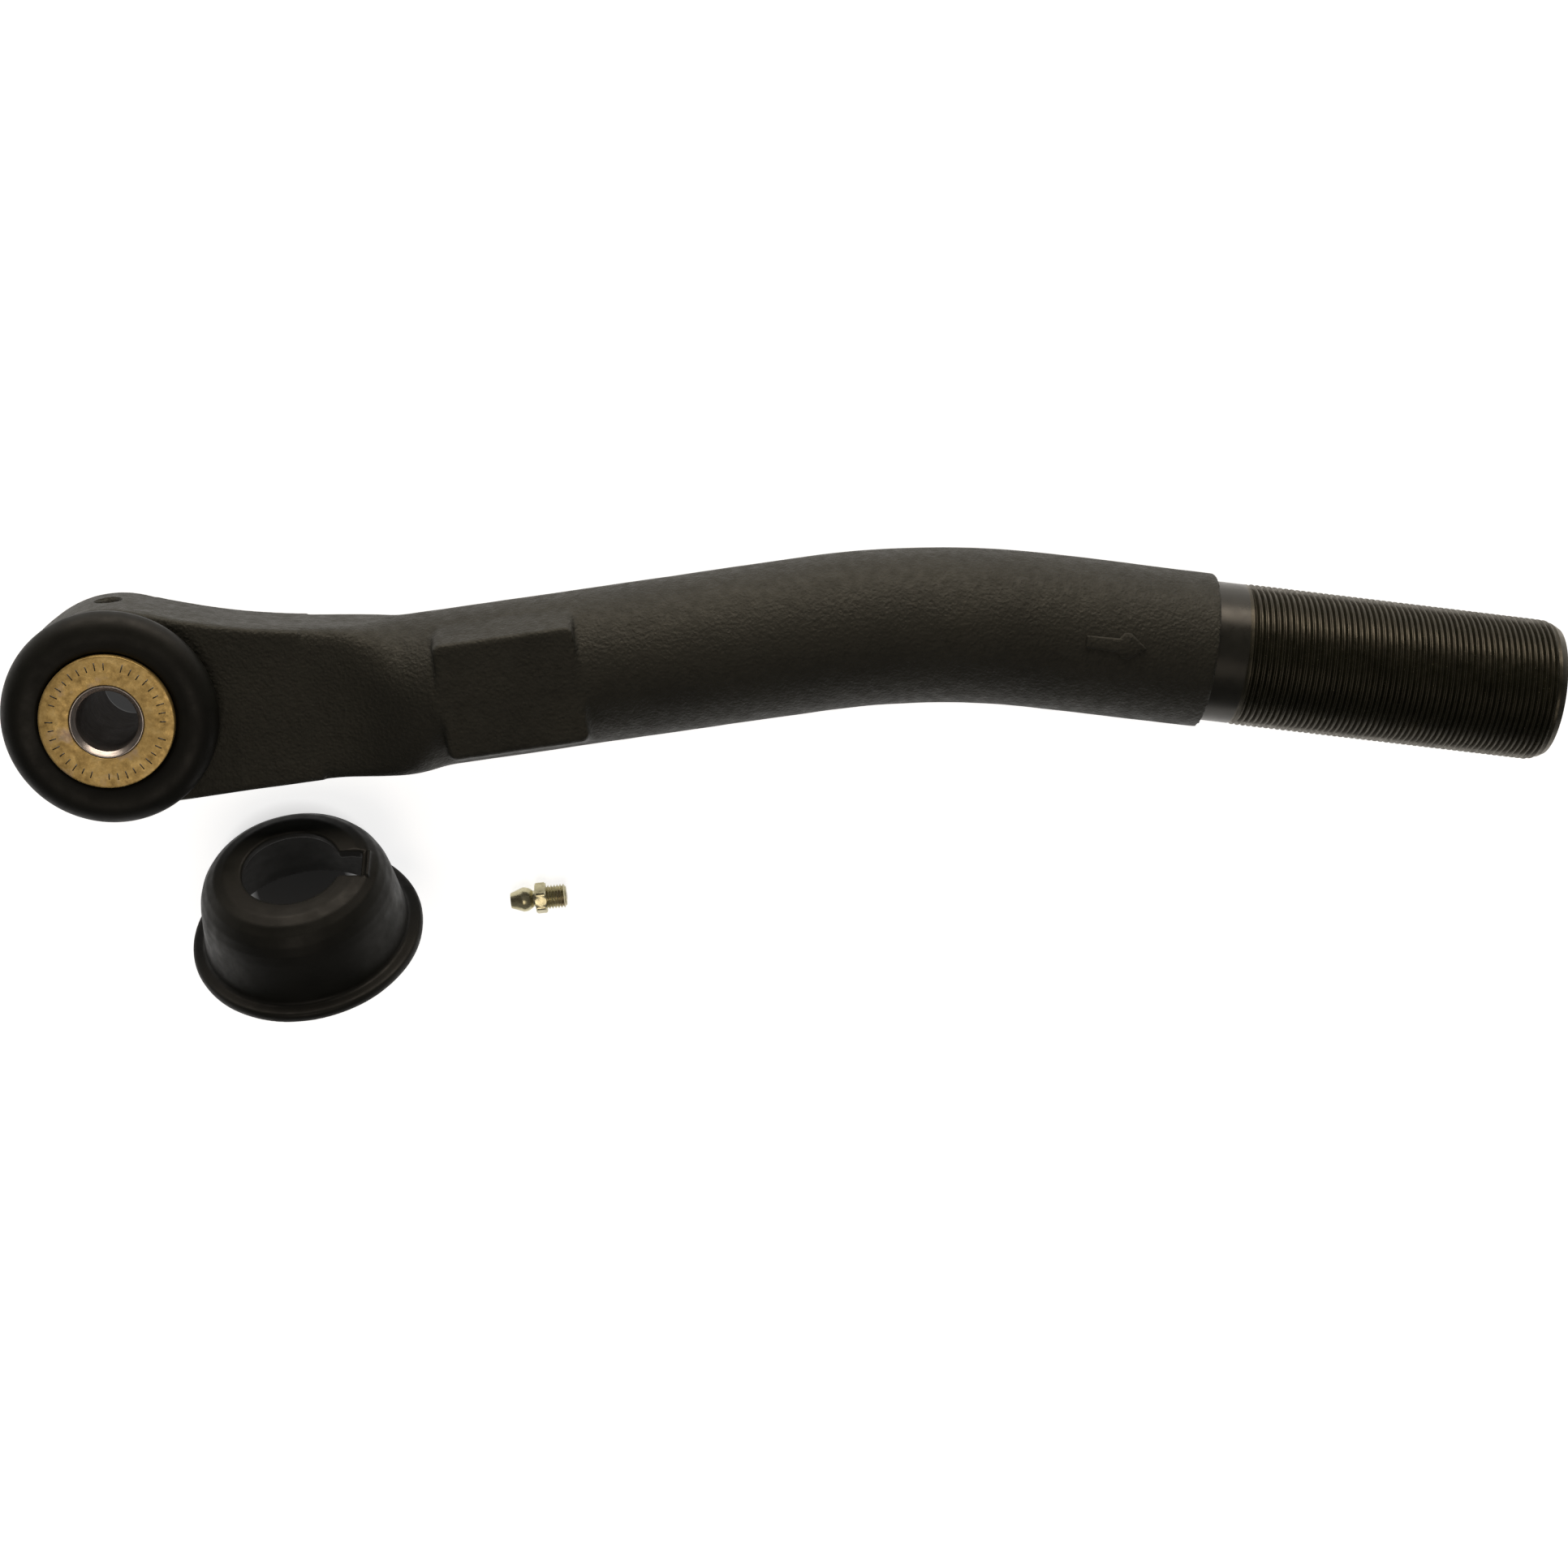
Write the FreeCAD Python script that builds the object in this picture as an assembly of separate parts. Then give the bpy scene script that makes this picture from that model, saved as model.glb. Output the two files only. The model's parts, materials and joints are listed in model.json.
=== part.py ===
import FreeCAD, Part
import math
import os

# Tie rod end: a bent steel rod with a ball joint head and an M36 x 1.5 shank, plus the spare
# dust boot and the grease fitting that are supplied loose with it. Millimetres, +Z up.
# Origin: the centre of the ball. +Z: along the ball's sleeve, towards the booted face.
# +X: towards the end of the threaded shank. +Y: the convex side of the bend.

V = FreeCAD.Vector

# Rod, laid out along the straight that leaves the head
BALL_ABOVE_AXIS = 8.1
HEAD_R = 26.6
FACE_Z = 12.0
BAR_R = 19.8
NECK_FILLET_R = 195.0
NECK_START = 46.0
WEB_BOTTOM = 17.3
NECK_END = 80.4
FLATS_START = 81.4
FLATS_END = 116.9
FLATS_HALF_WIDTH = 14.8
FLATS_HALF_DEPTH = 19.9
FLATS_SIDE = (18.7, 5.0)
BEND_CORNER = 205.6
BEND_ANGLE = 15.3
BEND_R = 225.0
ROW_ANGLE = 7.95

# Shank, measured from the corner of the bend
SHOULDER = 71.0
LAND_LENGTH = 8.0
LAND_R = 17.8
SHANK_END = 161.0
THREAD_R = 18.0
THREAD_PITCH = 1.5
THREAD_DEPTH = 0.92
THREAD_TURNS = 53
TIP_CHAMFER = 2.6

# Ball joint
BALL_R = 17.0
SLEEVE_HALF = 22.0
SLEEVE_NECK_R = 10.75
SLEEVE_END_R = 9.2
SLEEVE_STEP_Z = 19.0
SLEEVE_BORE_R = 7.65
SLEEVE_CHAMFER = 1.2
LINER_IN_R = 17.03
LINER_OUT_R = 18.0
SEAT_R = 18.04
RACE_R = 21.5
LIP_R = 16.3
LIP_Z = 9.5
RACE_TOP_Z = 6.8
COVER_Z = (8.0, 9.9)
SNAP_Z = (10.0, 11.1)
WASHER_R = 16.75
WASHER_BORE_R = 9.25
PORT_ANGLE = 94.0
PORT_R = 2.75

# Loose dust boot
BOOT_RIM_R = 29.8
BOOT_RIM_THICK = 3.4
BOOT_HEIGHT = 26.0
BOOT_HOLE_R = 12.5
BOOT_RIM_CENTRE = V(45.6, -61.5, 3.7)
BOOT_AXIS = V(-0.10, 0.866, 0.49)

# Grease fitting, measured from its head
FITTING_CENTRE = V(103.8, -58.25, -18.25)
FITTING_ANGLE = 5.2
FITTING_LENGTH = 14.6
FITTING_BORE_R = 1.15


def moved(shape, offset=V(0, 0, 0), angle=0.0):
    shape = shape.copy()
    shape.rotate(V(0, 0, 0), V(0, 0, 1), angle)
    shape.translate(offset)
    return shape


def face_of(points):
    corners = [V(*p) for p in points]
    return Part.Face(Part.makePolygon(corners + [corners[0]]))


def turned(profile):
    """Revolve (radius, height) corners about Z."""
    face = face_of([(r, 0, z) for r, z in profile])
    return face.revolve(V(0, 0, 0), V(0, 0, 1), 360)


def turned_edges(edges):
    """Revolve a closed chain of edges in the XZ plane about Z."""
    face = Part.Face(Part.Wire(Part.__sortEdges__(edges)))
    return face.revolve(V(0, 0, 0), V(0, 0, 1), 360)


def line(a, b):
    return Part.makeLine(V(a[0], 0, a[1]), V(b[0], 0, b[1]))


def arc(a, through, b):
    points = [V(p[0], 0, p[1]) for p in (a, through, b)]
    return Part.Arc(*points).toShape()


def polar(radius, degrees):
    """(radius, height) of a point on a sphere, at an angle from +Z."""
    angle = math.radians(degrees)
    return (radius * math.sin(angle), radius * math.cos(angle))


def ring(inner, outer, low, high, bevel=0.0):
    return turned(
        [
            (inner + bevel, low),
            (outer - bevel, low),
            (outer, low + bevel),
            (outer, high - bevel),
            (outer - bevel, high),
            (inner + bevel, high),
            (inner, high - bevel),
            (inner, low + bevel),
        ]
        if bevel
        else [(inner, low), (outer, low), (outer, high), (inner, high)]
    )


def from_bar(shape):
    """From the straight's own frame into the part's frame."""
    return moved(shape.translated(V(0, -BALL_ABOVE_AXIS, 0)), angle=ROW_ANGLE)


def onto_shank(shape):
    """From a frame with Z along the shank, zero at the bend's corner, into the bar's frame."""
    shape = shape.copy()
    shape.rotate(V(0, 0, 0), V(0, 1, 0), 90)
    shape.rotate(V(0, 0, 0), V(0, 0, 1), -BEND_ANGLE)
    shape.translate(V(BEND_CORNER, 0, 0))
    return shape


def head():
    disc = Part.makeCylinder(HEAD_R, 2 * FACE_Z, V(0, BALL_ABOVE_AXIS, -FACE_Z))
    rims = [e for e in disc.Edges if abs(abs(e.CenterOfMass.z) - FACE_Z) < 0.01]
    return disc.makeFillet(1.5, rims)


def neck_top(x):
    """Height of the neck's upper edge, an arc tangent to the head and to the bar."""
    rise = NECK_FILLET_R + BAR_R
    reach = math.sqrt((HEAD_R + NECK_FILLET_R) ** 2 - (rise - BALL_ABOVE_AXIS) ** 2)
    return rise - math.sqrt(NECK_FILLET_R**2 - min(0.0, x - reach) ** 2)


def neck_bottom(x):
    """Height of the neck's lower edge, which drops from the web's to the bar's."""
    share = max(0.0, min(1.0, (x - NECK_START) / (NECK_END - NECK_START)))
    return -WEB_BOTTOM - (BAR_R - WEB_BOTTOM) * share


def web():
    """The flat part of the neck, between the head and the start of the scoops."""
    start = 12.0
    middle = (start + NECK_START) / 2
    top = Part.Arc(
        V(start, neck_top(start), -FACE_Z),
        V(middle, neck_top(middle), -FACE_Z),
        V(NECK_START, neck_top(NECK_START), -FACE_Z),
    ).toShape()
    corners = [
        V(NECK_START, neck_top(NECK_START), -FACE_Z),
        V(NECK_START, -WEB_BOTTOM, -FACE_Z),
        V(0, -WEB_BOTTOM, -FACE_Z),
        V(0, BALL_ABOVE_AXIS, -FACE_Z),
        V(start, neck_top(start), -FACE_Z),
    ]
    outline = Part.Wire([top] + Part.makePolygon(corners).Edges)
    slab = Part.Face(outline).extrude(V(0, 0, 2 * FACE_Z))
    long_edges = [
        e
        for e in slab.Edges
        if abs(abs(e.CenterOfMass.z) - FACE_Z) < 0.01 and on_side(e)
    ]
    return slab.makeFillet(2.5, long_edges)


def on_side(edge):
    centre = edge.CenterOfMass
    return abs(centre.y + WEB_BOTTOM) < 0.01 or (centre.y > BAR_R and edge.Length > 30)


def section(x, top, bottom, half_depth, power):
    """A closed superellipse across the bar."""
    middle = (top + bottom) / 2
    half_height = (top - bottom) / 2
    points = []
    for i in range(32):
        angle = 2 * math.pi * (i + 0.5) / 32
        c = math.cos(angle)
        s = math.sin(angle)
        y = middle + half_height * math.copysign(abs(c) ** (2 / power), c)
        z = half_depth * math.copysign(abs(s) ** (2 / power), s)
        points.append(V(x, y, z))
    curve = Part.BSplineCurve()
    curve.interpolate(points, PeriodicFlag=True)
    return Part.Wire(curve.toShape())


def neck():
    """The scooped stretch, where the flat web grows into the round bar."""
    sections = []
    for x, half_depth, power in (
        (NECK_START, FACE_Z - 0.1, 7.0),
        (54, 13.0, 5.2),
        (62, 15.0, 3.6),
        (70, 17.2, 2.6),
        (NECK_END, 19.4, 2.0),
    ):
        sections.append(section(x, neck_top(x) - 0.3, neck_bottom(x) + 0.3, half_depth, power))
    return Part.makeLoft(sections, True, False)


def flats():
    """Spanner block: two flat faces and drafted sides, with corners proud of the round bar."""
    quarter = [(FLATS_HALF_WIDTH, FLATS_HALF_DEPTH), FLATS_SIDE]
    outline = quarter + [(y, -z) for y, z in reversed(quarter)]
    outline += [(-y, -z) for y, z in outline]
    block = face_of([(FLATS_START, y, z) for y, z in outline]).extrude(V(FLATS_END - FLATS_START, 0, 0))
    rims = [e for e in block.Edges if abs(abs(e.CenterOfMass.z) - FLATS_HALF_DEPTH) < 0.01]
    return block.makeFillet(1.3, rims)


def bend():
    """First straight, the bend and the second straight up to the shoulder."""
    tangent = BEND_R * math.tan(math.radians(BEND_ANGLE / 2))
    start = BEND_CORNER - tangent
    first = Part.makeCylinder(BAR_R, start - NECK_END, V(NECK_END, 0, 0), V(1, 0, 0))
    disc = Part.Face(Part.Wire(Part.makeCircle(BAR_R, V(start, 0, 0), V(1, 0, 0))))
    curve = disc.revolve(V(start, -BEND_R, 0), V(0, 0, 1), -BEND_ANGLE)
    chamfer = 1.6
    second = turned(
        [
            (0, tangent),
            (BAR_R, tangent),
            (BAR_R, SHOULDER - chamfer),
            (BAR_R - chamfer, SHOULDER),
            (0, SHOULDER),
        ]
    )
    return first.multiFuse([curve, onto_shank(second)])


def shank():
    """Plain land and thread; the thread is rings of its true profile."""
    first = SHOULDER + LAND_LENGTH + 1.2
    root = THREAD_R - THREAD_DEPTH
    crest = THREAD_PITCH / 8
    flank = (THREAD_PITCH - crest - THREAD_PITCH / 4) / 2
    profile = [(0, SHOULDER - 2), (LAND_R, SHOULDER - 2), (LAND_R, SHOULDER + LAND_LENGTH)]
    profile.append((root, first - flank))
    for i in range(THREAD_TURNS):
        at = first + i * THREAD_PITCH
        profile.append((THREAD_R, at))
        profile.append((THREAD_R, at + crest))
        profile.append((root, at + crest + flank))
        profile.append((root, at + THREAD_PITCH - flank))
    profile.append((root, SHANK_END - 0.7))
    profile.append((root - 0.7, SHANK_END))
    profile.append((0, SHANK_END))
    blank = turned(profile)
    cone = turned(
        [
            (0, SHOULDER - 3),
            (30, SHOULDER - 3),
            (30, SHANK_END - TIP_CHAMFER - 10),
            (THREAD_R + 0.05, SHANK_END - TIP_CHAMFER),
            (THREAD_R - TIP_CHAMFER, SHANK_END + 0.1),
            (0, SHANK_END + 0.1),
        ]
    )
    return onto_shank(blank.common(cone))


def arrow():
    """Raised arrow near the shoulder, pointing at the thread."""
    outline = [
        (37.4, -1.4),
        (45.6, -1.6),
        (46.6, -3.1),
        (48.4, -3.1),
        (52.6, 0.0),
        (48.4, 3.1),
        (46.6, 3.1),
        (45.6, 1.6),
        (37.4, 1.4),
    ]
    plate = face_of([(-BAR_R - 3, y + 2.4, x) for x, y in outline]).extrude(V(6, 0, 0))
    skin = ring(BAR_R - 1, BAR_R + 0.6, 30, 60)
    return onto_shank(plate.common(skin))


def head_cuts():
    """Bore for the races, the snap ring groove and the grease port."""
    bore = turned(
        [
            (0, -FACE_Z - 1),
            (LIP_R, -FACE_Z - 1),
            (LIP_R, -LIP_Z),
            (RACE_R, -LIP_Z),
            (RACE_R, FACE_Z - 0.8),
            (RACE_R + 1.8, FACE_Z + 1),
            (0, FACE_Z + 1),
        ]
    )
    groove = ring(RACE_R - 1, RACE_R + 1.1, SNAP_Z[0] - 0.05, SNAP_Z[1] + 0.05)
    port = turned(
        [
            (0, RACE_R - 2),
            (PORT_R, RACE_R - 2),
            (PORT_R, HEAD_R - 0.9),
            (PORT_R + 1.2, HEAD_R + 0.3),
            (PORT_R + 1.2, HEAD_R + 1),
            (0, HEAD_R + 1),
        ]
    )
    port.rotate(V(0, 0, 0), V(0, 1, 0), 90)
    return [bore, groove, moved(port, angle=PORT_ANGLE)]


def rod_forging():
    pieces = [web(), neck(), flats(), bend(), shank(), arrow()]
    solid = from_bar(head().multiFuse(pieces))
    for tool in head_cuts():
        solid = solid.cut(tool)
    return solid.removeSplitter()


def race(side):
    """Steel seat with half of the grease groove; side is +1 for the front, -1 for the rear."""
    high = RACE_TOP_Z if side > 0 else LIP_Z - 0.02
    low = 0.7
    groove_r = RACE_R - 1.4
    groove_z = 3.4
    top = (math.sqrt(SEAT_R**2 - high**2), high)
    bottom = (math.sqrt(SEAT_R**2 - low**2), low)
    middle = polar(SEAT_R, 75)
    outer = RACE_R - 0.01
    edges = [
        arc(bottom, middle, top),
        line(top, (outer - 0.5, high)),
        line((outer - 0.5, high), (outer, high - 0.5)),
        line((outer, high - 0.5), (outer, groove_z)),
        line((outer, groove_z), (groove_r, groove_z)),
        line((groove_r, groove_z), (groove_r, low)),
        line((groove_r, low), bottom),
    ]
    return flipped(turned_edges(edges), side)


def liner(side):
    """Polymer shell between the ball and the races."""
    top_in, top_out = polar(LINER_IN_R, 58.5), polar(LINER_OUT_R, 58.5)
    end_in, end_out = polar(LINER_IN_R, 89), polar(LINER_OUT_R, 89)
    edges = [
        arc(top_in, polar(LINER_IN_R, 74), end_in),
        line(end_in, end_out),
        arc(end_out, polar(LINER_OUT_R, 74), top_out),
        line(top_out, top_in),
    ]
    return flipped(turned_edges(edges), side)


def flipped(shape, side):
    if side > 0:
        return shape
    return shape.mirror(V(0, 0, 0), V(0, 0, 1))


def disc_spring():
    """Dished spring washer that loads the front race."""
    low = RACE_TOP_Z + 0.02
    high = COVER_Z[0] - 0.02
    thick = 0.7
    return turned([(17.4, high - thick), (21.2, low), (21.2, low + thick), (17.4, high)])


def cover_ring():
    return ring(16.4, RACE_R - 0.03, COVER_Z[0], COVER_Z[1], 0.3)


def snap_ring():
    """Open ring in the housing's groove, with an ear at each end."""
    low = SNAP_Z[0]
    high = SNAP_Z[1]
    band = ring(19.8, RACE_R + 1.0, low, high)
    gap = Part.makeBox(8, 30, 4, V(-4, 5, low - 1))
    band = band.cut(gap)
    for side in (-1, 1):
        ear = Part.makeCylinder(1.7, high - low, V(side * 5.6, 18.4, low))
        hole = Part.makeCylinder(0.8, high - low, V(side * 5.6, 18.4, low))
        band = band.fuse(ear).cut(hole)
    return moved(band.removeSplitter(), angle=200)


def ball_sleeve():
    """Ball and through-bored sleeve in one piece."""
    half = SLEEVE_HALF
    neck_z = math.sqrt(BALL_R**2 - SLEEVE_NECK_R**2)
    edges = [arc((SLEEVE_NECK_R, -neck_z), (BALL_R, 0), (SLEEVE_NECK_R, neck_z))]
    corners = [
        (SLEEVE_NECK_R, neck_z),
        (SLEEVE_NECK_R, SLEEVE_STEP_Z),
        (SLEEVE_END_R, SLEEVE_STEP_Z),
        (SLEEVE_END_R, half - 0.2),
        (SLEEVE_END_R - 0.2, half),
        (SLEEVE_BORE_R + SLEEVE_CHAMFER, half),
        (SLEEVE_BORE_R, half - SLEEVE_CHAMFER),
    ]
    lower = [(r, -z) for r, z in reversed(corners)]
    corners = corners + lower
    edges += [line(a, b) for a, b in zip(corners, corners[1:])]
    return turned_edges(edges)


def seal_washer():
    return ring(WASHER_BORE_R, WASHER_R, SLEEVE_STEP_Z + 0.02, SLEEVE_HALF - 0.1, 0.35)


def front_boot():
    """Rubber boot from the housing's face to the lip under the washer."""
    base = FACE_Z + 0.02
    edges = [
        line((22.4, base), (24.2, base)),
        line((24.2, base), (24.2, 13.9)),
        arc((24.2, 13.9), (27.0, 16.4), (25.2, 19.2)),
        arc((25.2, 19.2), (21.2, 21.2), (17.3, 20.3)),
        line((17.3, 20.3), (17.1, 18.95)),
        line((17.1, 18.95), (14.1, 18.95)),
        line((14.1, 18.95), (14.1, 16.7)),
        line((14.1, 16.7), (17.6, 16.7)),
        arc((17.6, 16.7), (21.0, 18.9), (23.8, 17.6)),
        arc((23.8, 17.6), (24.4, 15.8), (23.0, 14.0)),
        line((23.0, 14.0), (22.4, base)),
    ]
    return turned_edges(edges)


def boot_clamp():
    """Flat band round the foot of the front boot."""
    return ring(24.22, 24.9, FACE_Z + 0.05, 13.5)


def boot_lip_ring():
    return ring(SLEEVE_NECK_R + 0.05, 14.08, 16.9, 18.9, 0.3)


def place_boot(shape):
    axis = BOOT_AXIS.normalize()
    right = V(1, 0, 0) - axis * axis.x
    up = axis.cross(right)
    turn = FreeCAD.Rotation(right, up, axis, "ZXY")
    shape = shape.copy()
    shape.Placement = FreeCAD.Placement(BOOT_RIM_CENTRE, turn)
    return shape


def loose_boot():
    """Spare dust boot: open rim, tapered wall, round shoulder and a keyed hole."""
    top = BOOT_HEIGHT
    rim = BOOT_RIM_THICK
    wall = 2.6
    edges = [
        line((23.2, 0), (BOOT_RIM_R - 0.6, 0)),
        line((BOOT_RIM_R - 0.6, 0), (BOOT_RIM_R, 0.6)),
        line((BOOT_RIM_R, 0.6), (BOOT_RIM_R, rim - 1.0)),
        arc((BOOT_RIM_R, rim - 1.0), (BOOT_RIM_R - 0.3, rim - 0.3), (BOOT_RIM_R - 1.0, rim)),
        line((BOOT_RIM_R - 1.0, rim), (26.2, rim)),
        line((26.2, rim), (24.4, 17.5)),
        arc((24.4, 17.5), (21.9, 23.3), (16.5, top)),
        line((16.5, top), (BOOT_HOLE_R, top)),
        line((BOOT_HOLE_R, top), (BOOT_HOLE_R, top - wall)),
        line((BOOT_HOLE_R, top - wall), (15.7, top - wall)),
        arc((15.7, top - wall), (19.9, 21.6), (21.8, 17.2)),
        line((21.8, 17.2), (23.2, rim)),
        line((23.2, rim), (23.2, 0)),
    ]
    cap = turned_edges(edges)
    slot = Part.makeBox(BOOT_HOLE_R + 5.2, 8.6, 2 * wall, V(0, -4.3, top - wall - 1))
    recess = Part.makeBox(5.0, 8.6, 3.0, V(BOOT_HOLE_R + 5.1, -4.3, top - 1.2))
    rib = Part.makeBox(0.9, 8.6, 1.0, V(BOOT_HOLE_R + 6.6, -4.3, top - 1.3))
    cap = cap.cut(slot).cut(recess).fuse(rib)
    return place_boot(cap.cut(rim_insert_blank()))


def rim_insert_blank():
    return ring(24.4, 27.6, 0.9, 2.2)


def loose_boot_ring():
    """Steel ring moulded into the rim of the loose boot."""
    return place_boot(rim_insert_blank())


def place_fitting(shape):
    """Z along the fitting from its head becomes the fitting's line on the floor."""
    shape = shape.copy()
    shape.translate(V(0, 0, -FITTING_LENGTH / 2))
    shape.rotate(V(0, 0, 0), V(0, 1, 0), 90)
    return moved(shape, FITTING_CENTRE, FITTING_ANGLE)


def fitting_body():
    """Grease fitting: ball head, hexagon and fine thread round a through bore."""
    profile = [(0, -0.2), (2.0, -0.2), (3.15, 2.9)]
    for i in range(6):
        angle = math.radians(90 + i * 10)
        profile.append((3.25 * math.sin(angle), 3.3 - 3.25 * math.cos(angle)))
    profile += [(2.2, 5.9), (2.2, 6.5), (2.9, 6.5), (2.9, 9.35)]
    pitch = 0.907
    for i in range(5):
        at = 9.6 + i * pitch
        profile += [(2.75, at), (3.17, at + 0.4), (3.17, at + 0.5), (2.75, at + pitch)]
    profile += [(2.75, 14.4), (2.5, FITTING_LENGTH), (0, FITTING_LENGTH)]
    body = turned(profile)
    body = body.fuse(fitting_hexagon())
    bore = turned(
        [
            (0, -1),
            (0.75, -1),
            (0.75, 0.95),
            (FITTING_BORE_R, 1.2),
            (FITTING_BORE_R, FITTING_LENGTH + 1),
            (0, FITTING_LENGTH + 1),
        ]
    )
    return place_fitting(body.cut(bore))


def fitting_hexagon():
    corner = 3.75 / math.cos(math.pi / 6)
    points = []
    for i in range(6):
        angle = math.radians(30 + 60 * i)
        points.append((corner * math.cos(angle), corner * math.sin(angle), 6.4))
    prism = face_of(points).extrude(V(0, 0, 2.9))
    bevel = turned([(0, 6.4), (3.85, 6.4), (4.4, 6.75), (4.4, 8.95), (3.85, 9.3), (0, 9.3)])
    return prism.common(bevel)


def check_ball():
    return place_fitting(Part.makeSphere(1.0, V(0, 0, 1.68)))


def fitting_spring():
    """Coil behind the check ball."""
    coil = Part.makeHelix(1.4, 9.8, 0.8)
    wire = Part.Wire(coil)
    start = Part.Wire(Part.makeCircle(0.14, V(0.8, 0, 0), V(0, 1, 0)))
    spring = wire.makePipeShell([start], True, True)
    return place_fitting(spring.translated(V(0, 0, 2.9)))


def fitting_seat():
    return place_fitting(ring(0.55, FITTING_BORE_R - 0.01, 12.9, 13.7))


nodes = {
    "rod_forging": rod_forging(),
    "front_race": race(1),
    "rear_race": race(-1),
    "front_liner": liner(1),
    "rear_liner": liner(-1),
    "disc_spring": disc_spring(),
    "cover_ring": cover_ring(),
    "snap_ring": snap_ring(),
    "ball_sleeve": ball_sleeve(),
    "seal_washer": seal_washer(),
    "front_boot": front_boot(),
    "front_boot_clamp": boot_clamp(),
    "boot_lip_ring": boot_lip_ring(),
    "loose_boot": loose_boot(),
    "loose_boot_ring": loose_boot_ring(),
    "fitting_body": fitting_body(),
    "fitting_check_ball": check_ball(),
    "fitting_spring": fitting_spring(),
    "fitting_spring_seat": fitting_seat(),
}

os.makedirs("parts", exist_ok=True)
for name, shape in nodes.items():
    shape.exportStep("parts/" + name + ".step")
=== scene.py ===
# A tie rod end: a bent steel rod with a bored ball joint, a loose dust boot and a loose grease fitting.
# Origin: the ball's centre. +Z out of the booted face, +X towards the thread, +Y the bend's convex side.
# Sizes are millimetres unless a comment says otherwise; MM turns them into the frame's metres.
import json
import math

import bmesh
import bpy
import numpy as np
from mathutils import Matrix, Vector, noise

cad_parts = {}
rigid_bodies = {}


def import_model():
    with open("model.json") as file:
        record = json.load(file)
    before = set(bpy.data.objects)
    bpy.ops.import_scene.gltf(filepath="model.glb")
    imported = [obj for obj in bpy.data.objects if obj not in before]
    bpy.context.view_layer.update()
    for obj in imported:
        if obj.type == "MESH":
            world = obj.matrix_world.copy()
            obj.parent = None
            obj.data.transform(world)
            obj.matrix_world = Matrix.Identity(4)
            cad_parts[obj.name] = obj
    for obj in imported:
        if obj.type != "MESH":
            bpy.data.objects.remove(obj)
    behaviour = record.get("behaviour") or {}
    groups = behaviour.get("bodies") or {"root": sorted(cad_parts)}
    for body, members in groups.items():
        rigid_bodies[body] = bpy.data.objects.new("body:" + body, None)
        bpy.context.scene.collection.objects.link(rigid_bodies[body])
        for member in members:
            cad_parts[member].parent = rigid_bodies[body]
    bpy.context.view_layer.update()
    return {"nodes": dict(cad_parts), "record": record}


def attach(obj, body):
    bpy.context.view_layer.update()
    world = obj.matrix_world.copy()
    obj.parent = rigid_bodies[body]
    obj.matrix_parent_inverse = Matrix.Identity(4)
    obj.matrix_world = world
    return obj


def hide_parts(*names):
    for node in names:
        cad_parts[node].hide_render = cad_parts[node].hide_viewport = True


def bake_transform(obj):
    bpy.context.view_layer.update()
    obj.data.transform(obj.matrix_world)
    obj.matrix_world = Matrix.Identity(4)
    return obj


for default_object in list(bpy.data.objects):
    bpy.data.objects.remove(default_object)
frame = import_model()
MOUNT = {m["name"]: m for m in frame["record"]["mounts"]}
MM = 0.001

# ---------------------------------------------------------------- sizes, in millimetres
ROW_ANGLE = math.radians(7.95)
BALL_ABOVE_AXIS = 8.1
HEAD_R = 26.6
FACE_Z = 12.0
BAR_R = 19.8
NECK_FILLET_R = 195.0
NECK_START = 46.0
NECK_END = 80.4
WEB_BOTTOM = 17.3
FLATS = (81.4, 116.9)
FLATS_HALF = (14.8, 19.75)
FLATS_SIDE = (18.7, 5.0)
BEND_CORNER = 205.6
BEND_ANGLE = math.radians(15.3)
BEND_R = 225.0
SHOULDER = 71.0
LAND_LENGTH = 8.0
LAND_R = 17.8
SHANK_END = 161.0
THREAD_R = 18.0
THREAD_PITCH = 1.5
THREAD_DEPTH = 0.92
RACE_R = 21.5
PORT_R = 2.75
BALL_R = 17.0
SLEEVE_BORE_R = 7.65
SLEEVE_END_R = 9.2
SLEEVE_NECK_R = 10.75
WASHER_R = (9.27, 16.75)
WASHER_Z = (19.02, 21.9)
BOOT_AXIS = (-0.10, 0.866, 0.49)
BOOT_RIM_CENTRE = (45.6, -61.5, 3.7)
FITTING_MIDDLE = (103.8, -58.25, -18.25)
FITTING_ANGLE = math.radians(5.2)
FITTING_HALF = 7.3
HEXAGON_HALF = 3.75
FLOOR_Z = -22.15
POLE = 0.001  # radius at a turned profile's ends, small enough for its points to merge


# ---------------------------------------------------------------- mesh helpers
def add_object(name, vertices, faces, material=None, smooth=True):
    mesh = bpy.data.meshes.new(name)
    mesh.from_pydata([tuple(v) for v in vertices], [], faces)
    mesh.validate()
    work = bmesh.new()
    work.from_mesh(mesh)
    bmesh.ops.remove_doubles(work, verts=work.verts, dist=1e-6)
    bmesh.ops.recalc_face_normals(work, faces=work.faces)
    work.to_mesh(mesh)
    work.free()
    mesh.shade_smooth() if smooth else mesh.shade_flat()
    obj = bpy.data.objects.new(name, mesh)
    bpy.context.scene.collection.objects.link(obj)
    if material:
        mesh.materials.append(material)
    return obj


def sharp_edges(obj, degrees=35):
    """Creases the shading at edges sharper than this."""
    work = bmesh.new()
    work.from_mesh(obj.data)
    limit = math.radians(degrees)
    for edge in work.edges:
        edge.smooth = len(edge.link_faces) == 2 and edge.calc_face_angle(0) < limit
    work.to_mesh(obj.data)
    work.free()
    return obj


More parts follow.
